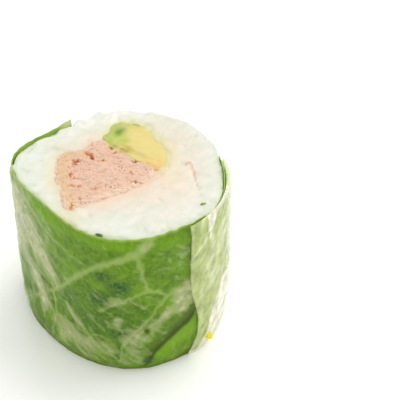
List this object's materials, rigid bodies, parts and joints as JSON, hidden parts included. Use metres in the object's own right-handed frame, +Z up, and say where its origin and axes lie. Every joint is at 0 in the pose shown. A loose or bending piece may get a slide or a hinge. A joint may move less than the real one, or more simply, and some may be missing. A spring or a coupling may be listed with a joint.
{
  "type": "tuna avocado roll",
  "caption": "Short length of a thick rice roll standing on its cut end, wrapped in lettuce leaf and rice paper, with flaked tuna and avocado at its middle.",
  "frame": {"origin": "on the table, under the middle of the roll's outline", "axes": "+Z up along the roll, from the lower knife cut to the upper one; -Y towards the side with the leaf's main vein, where the paper's outer edge is 51 degrees round towards +X"},
  "size_m": [0.0433, 0.0438, 0.0345],
  "materials": {
    "rice": "moist white steamed rice, softly satin",
    "tuna": "matt flaked cooked tuna, pink beige",
    "avocado": "smooth ripe avocado, green at one end and yellow at the other",
    "leaf": "satin green leaf with paler veins",
    "paper": "wet, glossy, see-through rice paper, milky where it is doubled"
  },
  "bodies": {
    "root": {"rice": "rice", "tuna": "tuna", "avocado": "avocado", "lettuce_leaf": "leaf", "rice_paper": "paper"}
  },
  "joints": []
}
